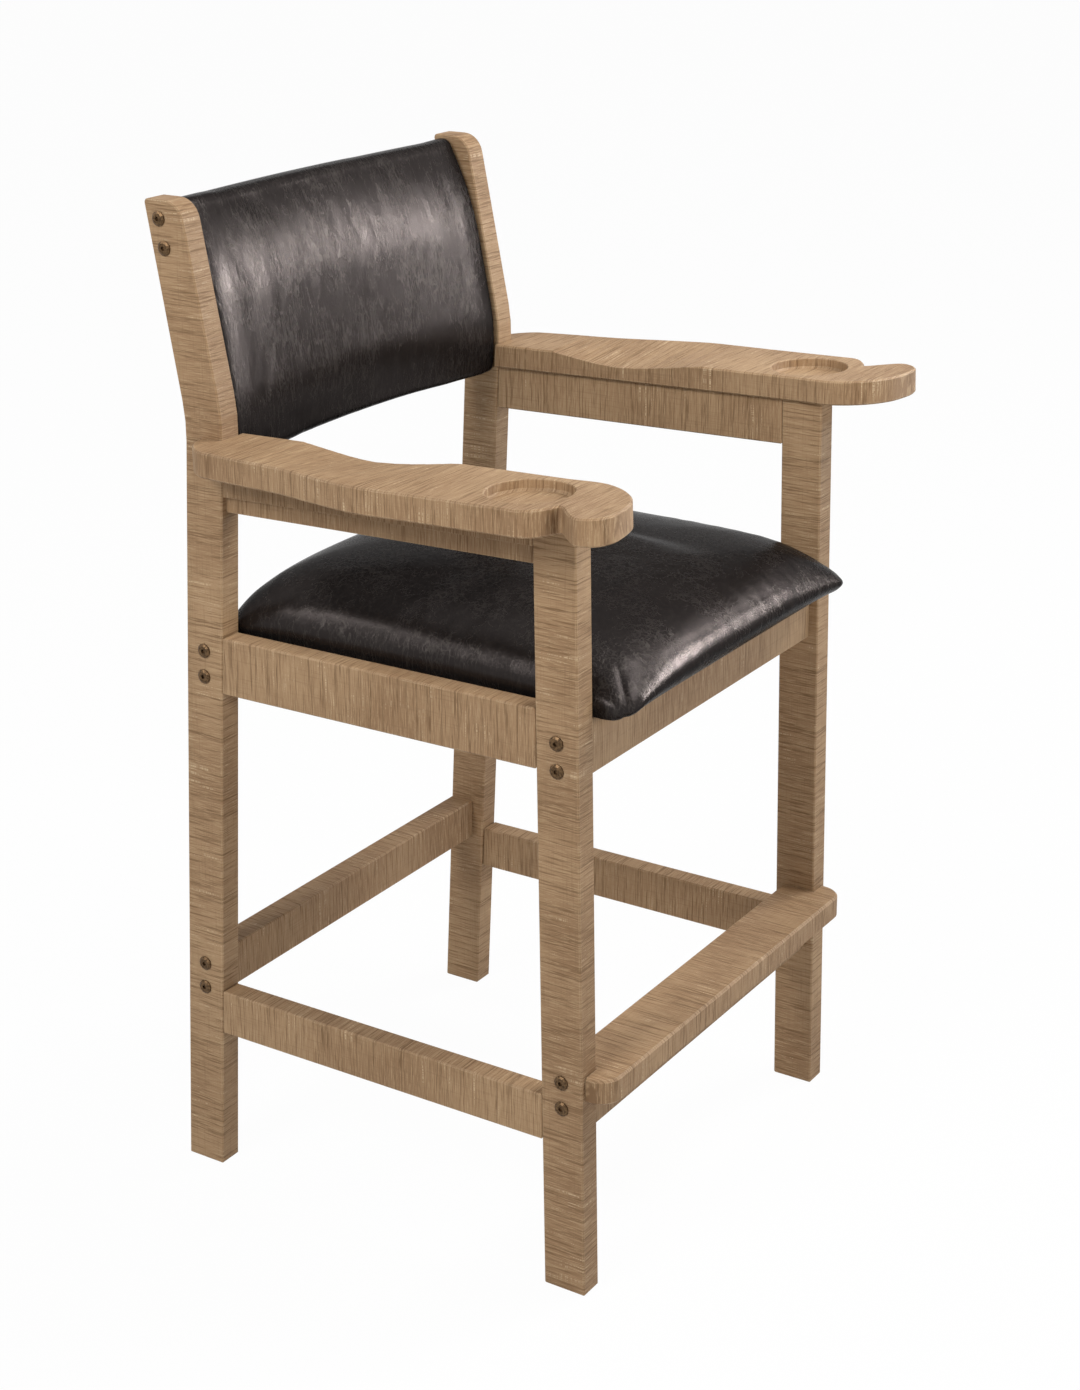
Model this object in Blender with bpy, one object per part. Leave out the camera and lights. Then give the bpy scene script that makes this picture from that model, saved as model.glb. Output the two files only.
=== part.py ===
"""Spectator chair with an upholstered seat and back, a footrest and armrests that hold a cup and a cue.

The chair faces -Y, the sitter's right hand is at -X and Z is up. The origin is on the floor, under the
middle of the chair's outer box. All sizes are in metres. Two glued side frames, each a front leg, a bent rear
leg and three rails under an armrest, are drawn together by cross members with bolts and barrel nuts.
"""
import math

import bmesh
import bpy
from mathutils import Matrix, Vector

# Whole chair
FRAME_WIDTH = 0.600
FIT_GAP = 0.0003
CUT_OVERRUN = 0.010
WOOD_ARRIS = 0.0015
ARC_STEP = math.radians(12)
SMOOTH_ANGLE = math.radians(32)

# Front legs; a rake share is the change of Y with height
LEG_THICKNESS = 0.031
FRONT_LEG_DEPTH = 0.0536
FRONT_LEG_FACE_AT_FLOOR = -0.2557
FRONT_LEG_RAKE_SHARE = 0.0135

# Rear legs and the back posts that they run into above the knee
REAR_LEG_DEPTH = 0.0529
REAR_LEG_FACE_AT_FLOOR = 0.2725
REAR_LEG_RAKE_SHARE = -0.0493
KNEE_FACE_RISE = 0.0552
KNEE_BACK_RISE = 0.0454
POST_FACE_RAKE_SHARE = 0.1997
POST_BACK_RAKE_SHARE = 0.1880
KNEE_RADIUS = 0.200
POST_RISE = 0.2425
POST_TOP_FRONT_RADIUS = 0.028
POST_TOP_BACK_RADIUS = 0.005

# Rails of the side frames
SIDE_RAIL_THICKNESS = 0.028
SEAT_RAIL_BOTTOM = 0.6326
SEAT_RAIL_HEIGHT = 0.0698
SEAT_RAIL_RAKE_SHARE = 0.0054
STRETCHER_BOTTOM = 0.1845
STRETCHER_HEIGHT = 0.0565
ARM_RAIL_HEIGHT = 0.0566
ARM_RAIL_RAKE_SHARE = 0.024
ARM_RAIL_BAND = 0.0365
ARM_RAIL_STEP = 0.008

# Cross members between the side frames
CROSS_RAIL_THICKNESS = 0.034
CROSS_RAIL_SETBACK = 0.0115
APRON_DROP = 0.0126
APRON_HEIGHT = 0.066
REAR_RAIL_DROP = 0.0006
REAR_RAIL_HEIGHT = 0.066
FRONT_STRETCHER_BOTTOM = 0.194
FRONT_STRETCHER_HEIGHT = 0.0502
REAR_STRETCHER_BOTTOM = 0.227
REAR_STRETCHER_HEIGHT = 0.054
REAR_STRETCHER_SETBACK = 0.0024

# Footrest board
FOOTREST_THICKNESS = 0.0303
FOOTREST_NOSE = 0.0313
FOOTREST_END_INSET = 0.006
FOOTREST_CORNER_RADIUS = 0.026
FOOTREST_ARRIS = 0.0025

# Armrests: shares run from the post face to the hook's tip, and from the inner to the outermost edge
ARM_LENGTH = 0.5533
ARM_WIDTH = 0.132
ARM_THICKNESS = 0.0302
ARM_RISE = 0.2777
ARM_RAKE_SHARE = 0.02824
ARM_INNER_OVERHANG = 0.009
ARM_ARRIS = 0.002
ARM_CURVE_STEPS = 2
ARM_CURVE_SHARES = (
    (-0.049, 0.305), (-0.042, 0.440), (-0.027, 0.540), (-0.009, 0.620), (0.014, 0.685), (0.042, 0.712),
    (0.130, 0.758), (0.233, 0.803), (0.335, 0.900), (0.425, 0.977), (0.480, 1.000), (0.611, 0.982),
    (0.790, 0.973), (0.816, 0.974), (0.834, 0.960), (0.849, 0.920), (0.861, 0.862), (0.871, 0.795),
    (0.879, 0.715), (0.890, 0.742), (0.904, 0.803), (0.919, 0.867), (0.933, 0.922), (0.946, 0.953),
    (0.959, 0.953), (0.975, 0.920), (0.988, 0.870), (0.997, 0.785), (1.000, 0.675), (0.994, 0.492),
    (0.987, 0.386), (0.976, 0.295), (0.964, 0.220), (0.949, 0.152), (0.933, 0.098), (0.917, 0.055),
    (0.899, 0.018), (0.879, -0.010), (0.855, -0.019), (0.828, -0.012), (0.800, 0.000),
)
CUP_RADIUS = 0.0475
CUP_DEPTH = 0.0125
CUP_FROM_TIP = 0.1243
CUP_FROM_INNER_EDGE = 0.060
CUP_FLOOR_FILLET = 0.0025
CUP_RIM_FLARE = 0.001
CUP_SIDES = 36
SCOOP_FROM_POST = 0.090
SCOOP_LENGTH = 0.215
SCOOP_DEPTH = 0.0125
SCOOP_FADE_START_SHARE = 0.74
SCOOP_FADE_END_SHARE = 0.94
SCOOP_PROFILE_SHARES = (
    (-0.020, -0.10), (0.028, 0.14), (0.098, 0.32), (0.160, 0.48), (0.225, 0.64), (0.300, 0.81),
    (0.380, 0.94), (0.455, 1.00), (0.572, 0.90), (0.674, 0.74), (0.772, 0.54), (0.865, 0.33),
    (0.935, 0.15), (1.020, -0.02),
)

# Seat board, its corner blocks and the cushion over it
SEAT_BOARD_THICKNESS = 0.0132
SEAT_BOARD_SIDE_INSET = 0.024
SEAT_BOARD_NOSE = 0.017
SEAT_BOARD_CORNER_RADIUS = 0.020
SEAT_BOARD_REAR_CLEARANCE = 0.002
CORNER_BLOCK_SIDE = 0.070
CORNER_BLOCK_HEIGHT = 0.035
CORNER_BLOCK_TIP = 0.010
CUSHION_SIDE_CLEARANCE = 0.001
CUSHION_NOSE = 0.0460
CUSHION_REAR_REACH = 0.0265
CUSHION_RIM_LIFT = 0.0037
CUSHION_CROWN = 0.090
CUSHION_CORNER_RADIUS = 0.016
CUSHION_CORNER_EASING = 0.016
CUSHION_CORNER_GROWTH_SHARE = 0.50
CUSHION_ROUNDEST_SHARE = 0.92
CUSHION_CORNER_FALL_SHARE = 0.62
CUSHION_CORNER_FALL_POWER = 4
CUSHION_DRAW_IN = 0.023
CUSHION_SIDE_DRAW_IN = 0.006
CUSHION_FALL_WIDTH = 0.250
CUSHION_CORNER_STEPS = 7
CUSHION_SIDE_STEPS = 7
CUSHION_DRAW_SHARES = ((1.00, 0.00), (0.52, 0.10), (0.18, 0.22), (0.00, 0.34))
CUSHION_CROWN_SHARES = (
    (0.012, 0.450), (0.040, 0.570), (0.080, 0.665), (0.150, 0.780), (0.240, 0.870), (0.370, 0.935),
    (0.540, 0.975), (0.760, 0.994), (0.960, 1.000),
)

# Back: a curved board in a channel of upholstery, closed behind by a cover panel
BACK_TOP_DROP = 0.004
BACK_BOTTOM_DROP = 0.0635
BACK_SIDE_CLEARANCE = 0.001
BACK_CURVE_AT_BOTTOM = 0.027
BACK_CURVE_AT_TOP = 0.010
BACK_PROUD = 0.0035
BACK_LEAN_HEIGHT = 0.124
BACK_LEAN_DEPTH = 0.0222
BACK_BOARD_OFFSET = 0.0260
BACK_BOARD_THICKNESS = 0.0150
BACK_BOARD_TOP_MARGIN = 0.008
BACK_BOARD_BOTTOM_MARGIN = 0.010
BACK_COVER_THICKNESS = 0.0025
BACK_LIP_RADIUS = 0.010
BACK_SIDE_ROUNDING = 0.0085
BACK_ROWS = 12
BACK_LIP_STEPS = 3
BACK_COLUMN_SHARES = (
    -1.0, -0.985, -0.965, -0.92, -0.80, -0.55, -0.28, 0.0, 0.28, 0.55, 0.80, 0.92, 0.965, 0.985, 1.0,
)
BACK_BOARD_COLUMN_SHARES = (-1.0, -0.75, -0.50, -0.25, 0.0, 0.25, 0.50, 0.75, 1.0)

# Bolts, barrel nuts, dowels and screws
BOLT_PITCH = 0.032
BOLT_SHANK_RADIUS = 0.003
BOLT_HEAD_RADIUS = 0.00875
BOLT_HEAD_RIM = 0.0012
BOLT_HEAD_HEIGHT = 0.0028
BOLT_CROWN_RADIUS = 0.0062
BOLT_SOCKET_RADIUS = 0.0028
BOLT_SOCKET_DEPTH = 0.0020
BOLT_SIDES = 12
BOLT_REACH_PAST_NUT = 0.007
NUT_INSET = 0.030
NUT_RADIUS = 0.005
NUT_LENGTH = 0.010
NUT_SIDES = 10
BORE_SIDES = 8
BORE_CLEARANCE = 0.0003
BACK_BOLT_DROP = 0.0094
BACK_BOLT_PITCH = 0.033
FOOTREST_BOLT_DROP = 0.0108
REAR_STRETCHER_BOLT_LIFT = 0.003
DOWEL_RADIUS = 0.004
DOWEL_LENGTH = 0.030
DOWEL_PITCH = 0.030
ARM_DOWEL_RISE = 0.012
ARM_DOWEL_SHARES = (0.25, 0.75)
BACK_PIN_LIFT = 0.022
SCREW_RADIUS = 0.0022
SCREW_HEAD_RADIUS = 0.0042
SCREW_HEAD_HEIGHT = 0.0024
SCREW_BITE = 0.009

# Colours, linear, with roughness and metallic value
WOOD_LOOK = ((0.328, 0.213, 0.112, 1.0), 0.70, 0.0)
HIDDEN_WOOD_LOOK = ((0.420, 0.300, 0.180, 1.0), 0.80, 0.0)
UPHOLSTERY_LOOK = ((0.012, 0.010, 0.009, 1.0), 0.30, 0.0)
BRONZE_LOOK = ((0.070, 0.045, 0.022, 1.0), 0.35, 0.9)
STEEL_LOOK = ((0.500, 0.500, 0.500, 1.0), 0.40, 1.0)

# Places that follow from the sizes
SIDES = (("right", -1), ("left", 1))
LEG_OUTER = FRAME_WIDTH / 2
LEG_INNER = LEG_OUTER - LEG_THICKNESS
RAIL_INNER = LEG_OUTER - SIDE_RAIL_THICKNESS
CROSS_END = LEG_INNER - FIT_GAP
ARM_INNER = LEG_INNER - ARM_INNER_OVERHANG
ARM_TILT = math.atan(ARM_RAKE_SHARE)
FOOTREST_BOTTOM = FRONT_STRETCHER_BOTTOM + FRONT_STRETCHER_HEIGHT + FIT_GAP
FOOTREST_TOP = FOOTREST_BOTTOM + FOOTREST_THICKNESS
APRON_BOTTOM = SEAT_RAIL_BOTTOM - APRON_DROP
REAR_RAIL_BOTTOM = SEAT_RAIL_BOTTOM - REAR_RAIL_DROP
SEAT_BOARD_BOTTOM = APRON_BOTTOM + APRON_HEIGHT + FIT_GAP
SEAT_BOARD_HALF_WIDTH = LEG_INNER - SEAT_BOARD_SIDE_INSET
CUSHION_RIM_HEIGHT = SEAT_BOARD_BOTTOM + CUSHION_RIM_LIFT
ARM_UNDERSIDE_HEIGHT = SEAT_RAIL_BOTTOM + ARM_RISE
KNEE_FACE_HEIGHT = ARM_UNDERSIDE_HEIGHT + KNEE_FACE_RISE
KNEE_BACK_HEIGHT = ARM_UNDERSIDE_HEIGHT + KNEE_BACK_RISE
POST_TOP_HEIGHT = KNEE_FACE_HEIGHT + POST_RISE
BACK_TOP = POST_TOP_HEIGHT - BACK_TOP_DROP
BACK_BOTTOM = KNEE_FACE_HEIGHT - BACK_BOTTOM_DROP
BACK_LEAN_START = BACK_TOP - BACK_LEAN_HEIGHT
BACK_BOARD_TOP = BACK_TOP - BACK_BOARD_TOP_MARGIN
BACK_BOARD_BOTTOM = BACK_BOTTOM + BACK_BOARD_BOTTOM_MARGIN
NUT_PLACE = CROSS_END - NUT_INSET
BOLT_END = NUT_PLACE - BOLT_REACH_PAST_NUT


# Lines of the legs, seen from the side

def front_leg_face(z):
    return FRONT_LEG_FACE_AT_FLOOR + FRONT_LEG_RAKE_SHARE * z


def front_leg_back(z):
    return front_leg_face(z) + FRONT_LEG_DEPTH


def rear_leg_face(z):
    return REAR_LEG_FACE_AT_FLOOR + REAR_LEG_RAKE_SHARE * z


def rear_leg_back(z):
    return rear_leg_face(z) + REAR_LEG_DEPTH


def post_face(z):
    return rear_leg_face(KNEE_FACE_HEIGHT) + POST_FACE_RAKE_SHARE * (z - KNEE_FACE_HEIGHT)


def post_back(z):
    return rear_leg_back(KNEE_BACK_HEIGHT) + POST_BACK_RAKE_SHARE * (z - KNEE_BACK_HEIGHT)


def eased_rear_face(z):
    """Front line of the rear leg and post, with its knee eased as the post's own arc eases it."""
    half_turn = math.atan(POST_FACE_RAKE_SHARE - REAR_LEG_RAKE_SHARE) / 2
    reach = KNEE_RADIUS * math.tan(half_turn)
    past = z - KNEE_FACE_HEIGHT
    if past <= -reach:
        return rear_leg_face(z)
    if past >= reach:
        return post_face(z)
    lift = (past + reach) ** 2 / (4 * reach)
    return rear_leg_face(z) + (POST_FACE_RAKE_SHARE - REAR_LEG_RAKE_SHARE) * lift


def front_leg_middle(z):
    return front_leg_face(z) + FRONT_LEG_DEPTH / 2


def rear_leg_middle(z):
    return rear_leg_face(z) + REAR_LEG_DEPTH / 2


def arm_post_line():
    return rear_leg_face(ARM_UNDERSIDE_HEIGHT)


def arm_underside(y):
    return ARM_UNDERSIDE_HEIGHT + ARM_RAKE_SHARE * (arm_post_line() - y)


def arm_rail_bottom(y):
    return ARM_UNDERSIDE_HEIGHT - ARM_RAIL_HEIGHT + ARM_RAIL_RAKE_SHARE * (arm_post_line() - y)


# Materials and objects

def finish(name, look):
    """A Principled material from its colour, roughness and metallic value."""
    colour, roughness, metallic = look
    material = bpy.data.materials.new(name)
    material.use_nodes = True
    shader = material.node_tree.nodes["Principled BSDF"]
    shader.inputs["Base Color"].default_value = colour
    shader.inputs["Roughness"].default_value = roughness
    shader.inputs["Metallic"].default_value = metallic
    material.diffuse_color = colour
    return material


def solid(name, bm, material):
    """An object of its own from a finished mesh, shaded smooth where its faces nearly line up."""
    bmesh.ops.recalc_face_normals(bm, faces=bm.faces)
    mesh = bpy.data.meshes.new(name)
    bm.to_mesh(mesh)
    bm.free()
    mesh.shade_smooth()
    mesh.set_sharp_from_angle(angle=SMOOTH_ANGLE)
    mesh.materials.append(material)
    made = bpy.data.objects.new(name, mesh)
    bpy.context.scene.collection.objects.link(made)
    return made


def ease(made, width):
    """Bevels the sharp edges of a wooden piece."""
    bevel = made.modifiers.new("arris", "BEVEL")
    bevel.width = width
    bevel.segments = 1
    bevel.limit_method = "ANGLE"
    bevel.angle_limit = SMOOTH_ANGLE
    bevel.use_clamp_overlap = False


def combine(made, name, bm, operation):
    """Adds a Boolean with a guide body that stays hidden beside the piece."""
    bmesh.ops.recalc_face_normals(bm, faces=bm.faces)
    mesh = bpy.data.meshes.new(name)
    bm.to_mesh(mesh)
    bm.free()
    guide = bpy.data.objects.new(name, mesh)
    bpy.context.scene.collection.objects.link(guide)
    guide.hide_render = True
    guide.display_type = "WIRE"
    boolean = made.modifiers.new(name, "BOOLEAN")
    boolean.operation = operation
    boolean.object = guide
    return guide


def cut(made, name, bm):
    return combine(made, name, bm, "DIFFERENCE")


def join(made, name, bm):
    return combine(made, name, bm, "UNION")


# Shapes

def along_x(u, v, w):
    return Vector((w, u, v))


def along_z(u, v, w):
    return Vector((u, v, w))


def rounded(corners):
    """Outline from corners given as (u, v, radius), each turned by an arc of its radius."""
    outline = []
    for index, (u, v, radius) in enumerate(corners):
        here = Vector((u, v))
        before = Vector(corners[index - 1][:2])
        after = Vector(corners[(index + 1) % len(corners)][:2])
        if not radius:
            outline.append((u, v))
            continue
        back = (before - here).normalized()
        onward = (after - here).normalized()
        half_angle = back.angle(onward) / 2
        centre = here + (back + onward).normalized() * (radius / math.sin(half_angle))
        first = here + back * (radius / math.tan(half_angle)) - centre
        last = here + onward * (radius / math.tan(half_angle)) - centre
        turn = math.pi - 2 * half_angle
        sign = 1 if first.cross(last) > 0 else -1
        steps = max(2, math.ceil(turn / ARC_STEP))
        for step in range(steps + 1):
            angle = sign * turn * step / steps
            spoke = Vector((first.x * math.cos(angle) - first.y * math.sin(angle),
                            first.x * math.sin(angle) + first.y * math.cos(angle)))
            outline.append(tuple(centre + spoke))
    return outline


def smooth_line(points, steps):
    """A curve through the points, each span drawn in so many steps."""
    line = []
    for index in range(len(points) - 1):
        a = Vector(points[max(index - 1, 0)])
        b = Vector(points[index])
        c = Vector(points[index + 1])
        d = Vector(points[min(index + 2, len(points) - 1)])
        for step in range(steps):
            t = step / steps
            line.append(tuple((b * 2 + (c - a) * t + (a * 2 - b * 5 + c * 4 - d) * t ** 2
                               + (b * 3 - a - c * 3 + d) * t ** 3) / 2))
    line.append(tuple(points[-1]))
    return line


def add_prism(bm, outline, low, high, place):
    """Extrudes an outline from low to high along the axis that place gives."""
    lower = [bm.verts.new(place(u, v, low)) for u, v in outline]
    upper = [bm.verts.new(place(u, v, high)) for u, v in outline]
    bm.faces.new(lower)
    bm.faces.new(upper)
    for index in range(len(outline)):
        after = (index + 1) % len(outline)
        bm.faces.new((lower[index], lower[after], upper[after], upper[index]))


def prism(outline, low, high, place):
    bm = bmesh.new()
    add_prism(bm, outline, low, high, place)
    return bm


def add_loft(bm, rings):
    """Skins closed rings of equal length and fills the first and the last."""
    loops = [[bm.verts.new(point) for point in ring] for ring in rings]
    bm.faces.new(loops[0])
    bm.faces.new(loops[-1])
    for lower, upper in zip(loops, loops[1:]):
        for index in range(len(lower)):
            after = (index + 1) % len(lower)
            bm.faces.new((lower[index], lower[after], upper[after], upper[index]))


def cross_axes(start, end):
    """Two axes across a run along X, Y or Z, the same for both directions of the run."""
    run = end - start
    lengths = [abs(run.x), abs(run.y), abs(run.z)]
    axes = [Vector((1, 0, 0)), Vector((0, 1, 0)), Vector((0, 0, 1))]
    main = lengths.index(max(lengths))
    return axes[(main + 1) % 3], axes[(main + 2) % 3]


def add_turned(bm, start, end, stations, sides):
    """Turned body along a run: stations are (distance from start, radius, whether the ring is a hexagon)."""
    across, up = cross_axes(start, end)
    direction = (end - start).normalized()
    rings = []
    for distance, radius, hexagon in stations:
        ring = []
        for index in range(sides):
            angle = 2 * math.pi * index / sides
            reach = radius
            if hexagon and index % 2:
                reach = radius * math.cos(math.pi / 6)
            spoke = across * (reach * math.cos(angle)) + up * (reach * math.sin(angle))
            ring.append(start + direction * distance + spoke)
        rings.append(ring)
    add_loft(bm, rings)


def add_rod(bm, start, end, radius, sides):
    add_turned(bm, start, end, ((0, radius, False), ((end - start).length, radius, False)), sides)


def rods(runs, radius, sides):
    bm = bmesh.new()
    for start, end in runs:
        add_rod(bm, start, end, radius, sides)
    return bm


# Bolts: where each pair passes through the legs, and the member that it draws in

def bolt_pairs():
    """Name of each pair with the two (y, z) places of its bolts."""
    apron_middle = APRON_BOTTOM + APRON_HEIGHT / 2
    rear_middle = REAR_RAIL_BOTTOM + REAR_RAIL_HEIGHT / 2
    low_middle = REAR_STRETCHER_BOTTOM + REAR_STRETCHER_HEIGHT / 2 + REAR_STRETCHER_BOLT_LIFT
    footrest_bolt = FOOTREST_TOP - FOOTREST_BOLT_DROP
    half = BOLT_PITCH / 2
    board_middle = BACK_BOARD_OFFSET + BACK_BOARD_THICKNESS / 2
    back_bolt = BACK_BOARD_TOP - BACK_BOLT_DROP
    return {
        "front_apron": [(front_leg_middle(z), z) for z in (apron_middle + half, apron_middle - half)],
        "rear_rail": [(rear_leg_middle(z), z) for z in (rear_middle + half, rear_middle - half)],
        "rear_stretcher": [(rear_leg_middle(z), z) for z in (low_middle + half, low_middle - half)],
        "footrest": [(front_leg_middle(z), z) for z in (footrest_bolt, footrest_bolt - BOLT_PITCH)],
        "back": [(post_face(z) + board_middle + back_curve(NUT_PLACE, z) / 2, z)
                 for z in (back_bolt, back_bolt - BACK_BOLT_PITCH)],
    }


def bolt_runs(places, start_x, end_x, side):
    return [(Vector((side * start_x, y, z)), Vector((side * end_x, y, z))) for y, z in places]


def leg_bolt_bores(names, side):
    """Bores that let the bolts of the named pairs through a leg."""
    pairs = bolt_pairs()
    runs = []
    for name in names:
        runs += bolt_runs(pairs[name], LEG_OUTER + CUT_OVERRUN, LEG_INNER - CUT_OVERRUN, side)
    return runs


def end_bores(places):
    """Blind bores for the bolts in both ends of a cross member."""
    runs = []
    for _, side in SIDES:
        runs += bolt_runs(places, LEG_INNER + CUT_OVERRUN, BOLT_END - BORE_CLEARANCE, side)
    return runs


def nut_runs(places, axis, seat, extra):
    """Runs of the barrel nuts along an axis, from the seat end, longer by extra at the open end."""
    runs = []
    for _, side in SIDES:
        for y, z in places:
            middle = Vector((side * NUT_PLACE, y, z))
            start = middle - axis * (NUT_LENGTH / 2 + seat)
            runs.append((start, middle + axis * (NUT_LENGTH / 2 + extra)))
    return runs


def bore_for_bolts(made, places, axis, name):
    """Bores a cross member for its bolts and, from its hidden face, for their barrel nuts."""
    radius = BOLT_SHANK_RADIUS + BORE_CLEARANCE
    cut(made, name + "_bolt_bores", rods(end_bores(places), radius, BORE_SIDES))
    runs = nut_runs(places, axis, FIT_GAP, CROSS_RAIL_THICKNESS)
    cut(made, name + "_nut_bores", rods(runs, NUT_RADIUS + BORE_CLEARANCE, NUT_SIDES))


# Dowels, glued into the rail or leg that carries them and standing out of it

def rail_dowels(middle_of, side, x):
    """Dowel runs at both ends of a side rail, from the rail towards the leg."""
    runs = []
    half = DOWEL_LENGTH / 2
    for shift in (-DOWEL_PITCH / 2, DOWEL_PITCH / 2):
        z = middle_of(front_leg_back(0)) + shift
        y = front_leg_back(z)
        runs.append((Vector((side * x, y + half, z)), Vector((side * x, y - half, z))))
        z = middle_of(rear_leg_face(0)) + shift
        y = rear_leg_face(z)
        runs.append((Vector((side * x, y - half, z)), Vector((side * x, y + half, z))))
    return runs


def seat_rail_middle(y):
    return SEAT_RAIL_BOTTOM + SEAT_RAIL_HEIGHT / 2 - SEAT_RAIL_RAKE_SHARE * y


def arm_rail_middle(y):
    return (arm_underside(y) + arm_rail_bottom(y)) / 2


def side_frame_dowels(side):
    rail_x = (LEG_OUTER + RAIL_INNER) / 2
    arm_rail_x = (LEG_OUTER - ARM_RAIL_STEP + LEG_INNER) / 2
    runs = {
        "seat_rail": rail_dowels(seat_rail_middle, side, rail_x),
        "side_stretcher": rail_dowels(lambda y: STRETCHER_BOTTOM + STRETCHER_HEIGHT / 2, side, rail_x),
        "arm_rail": rail_dowels(arm_rail_middle, side, arm_rail_x),
    }
    return runs


def arm_dowels(side):
    """Dowels that stand in the arm rail and in the front leg and reach up into the armrest."""
    arm_rail_x = (LEG_OUTER - ARM_RAIL_STEP + LEG_INNER) / 2
    front = front_leg_back(ARM_UNDERSIDE_HEIGHT)
    back = arm_post_line()
    runs = {"arm_rail": [], "front_leg": []}
    for share in ARM_DOWEL_SHARES:
        y = front + (back - front) * share
        runs["arm_rail"].append((side * arm_rail_x, y))
    runs["front_leg"].append((side * (LEG_OUTER + LEG_INNER) / 2, front_leg_middle(ARM_UNDERSIDE_HEIGHT)))
    for name, places in runs.items():
        rise = [(Vector((x, y, arm_underside(y) + ARM_DOWEL_RISE - DOWEL_LENGTH)),
                 Vector((x, y, arm_underside(y) + ARM_DOWEL_RISE))) for x, y in places]
        runs[name] = rise
    return runs


def back_pin_runs(side):
    """One dowel pin at each lower end of the back board."""
    z = BACK_BOARD_BOTTOM + BACK_PIN_LIFT
    y = eased_rear_face(z) + BACK_BOARD_OFFSET + BACK_BOARD_THICKNESS / 2
    half = DOWEL_LENGTH / 2
    return [(Vector((side * (LEG_INNER + half), y, z)), Vector((side * (LEG_INNER - half), y, z)))]


def stretched(runs, extra):
    """The same runs, longer by extra at both ends."""
    longer = []
    for start, end in runs:
        step = (end - start).normalized() * extra
        longer.append((start - step, end + step))
    return longer


def bore_dowels(made, runs):
    radius = DOWEL_RADIUS + BORE_CLEARANCE
    cut(made, made.name + "_dowel_bores", rods(stretched(runs, FIT_GAP), radius, BORE_SIDES))


def glue_dowels(made, runs):
    join(made, made.name + "_dowels", rods(runs, DOWEL_RADIUS, BORE_SIDES))


# Side frames

def span(side, inner, outer):
    """X range of a piece on one side of the chair, lowest first."""
    return sorted((side * inner, side * outer))


def front_leg(label, side, wood):
    top_face = front_leg_face(ARM_UNDERSIDE_HEIGHT)
    top_back = front_leg_back(ARM_UNDERSIDE_HEIGHT)
    outline = [(front_leg_face(0), 0), (front_leg_back(0), 0),
               (top_back, arm_underside(top_back) - FIT_GAP), (top_face, arm_underside(top_face) - FIT_GAP)]
    made = solid("front_leg_" + label, prism(outline, *span(side, LEG_INNER, LEG_OUTER), along_x), wood)
    ease(made, WOOD_ARRIS)
    radius = BOLT_SHANK_RADIUS + BORE_CLEARANCE
    bores = leg_bolt_bores(("front_apron", "footrest"), side)
    cut(made, made.name + "_bolt_bores", rods(bores, radius, BORE_SIDES))
    dowels = [run for runs in side_frame_dowels(side).values() for run in runs if run[0].y < 0]
    bore_dowels(made, dowels)
    glue_dowels(made, arm_dowels(side)["front_leg"])


def rear_leg(label, side, wood):
    top = POST_TOP_HEIGHT
    corners = [(rear_leg_face(0), 0, 0), (rear_leg_back(0), 0, 0),
               (rear_leg_back(KNEE_BACK_HEIGHT), KNEE_BACK_HEIGHT, KNEE_RADIUS),
               (post_back(top), top, POST_TOP_BACK_RADIUS), (post_face(top), top, POST_TOP_FRONT_RADIUS),
               (rear_leg_face(KNEE_FACE_HEIGHT), KNEE_FACE_HEIGHT, KNEE_RADIUS)]
    outline = rounded(corners)
    made = solid("rear_leg_" + label, prism(outline, *span(side, LEG_INNER, LEG_OUTER), along_x), wood)
    ease(made, WOOD_ARRIS)
    radius = BOLT_SHANK_RADIUS + BORE_CLEARANCE
    bores = leg_bolt_bores(("rear_rail", "rear_stretcher", "back"), side)
    cut(made, made.name + "_bolt_bores", rods(bores, radius, BORE_SIDES))
    dowels = [run for runs in side_frame_dowels(side).values() for run in runs if run[0].y > 0]
    bore_dowels(made, dowels + back_pin_runs(side))


def rail_outline(bottom_of, top_of):
    """Side outline of a rail whose ends follow the legs' slanted faces."""
    front = front_leg_back(bottom_of(0))
    back = rear_leg_face(bottom_of(0))
    corners = [(front, bottom_of(front)), (back, bottom_of(back)),
               (back, top_of(back)), (front, top_of(front))]
    outline = []
    for y, z in corners:
        edge = front_leg_back(z) + FIT_GAP if y == front else rear_leg_face(z) - FIT_GAP
        outline.append((edge, z))
    return outline


def seat_rail(label, side, wood):
    outline = rail_outline(lambda y: SEAT_RAIL_BOTTOM - SEAT_RAIL_RAKE_SHARE * y,
                           lambda y: SEAT_RAIL_BOTTOM + SEAT_RAIL_HEIGHT - SEAT_RAIL_RAKE_SHARE * y)
    made = solid("seat_rail_" + label, prism(outline, *span(side, RAIL_INNER, LEG_OUTER), along_x), wood)
    ease(made, WOOD_ARRIS)
    glue_dowels(made, side_frame_dowels(side)["seat_rail"])


def side_stretcher(label, side, wood):
    outline = rail_outline(lambda y: STRETCHER_BOTTOM, lambda y: STRETCHER_BOTTOM + STRETCHER_HEIGHT)
    made = solid("side_stretcher_" + label, prism(outline, *span(side, RAIL_INNER, LEG_OUTER), along_x), wood)
    ease(made, WOOD_ARRIS)
    glue_dowels(made, side_frame_dowels(side)["side_stretcher"])


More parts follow.
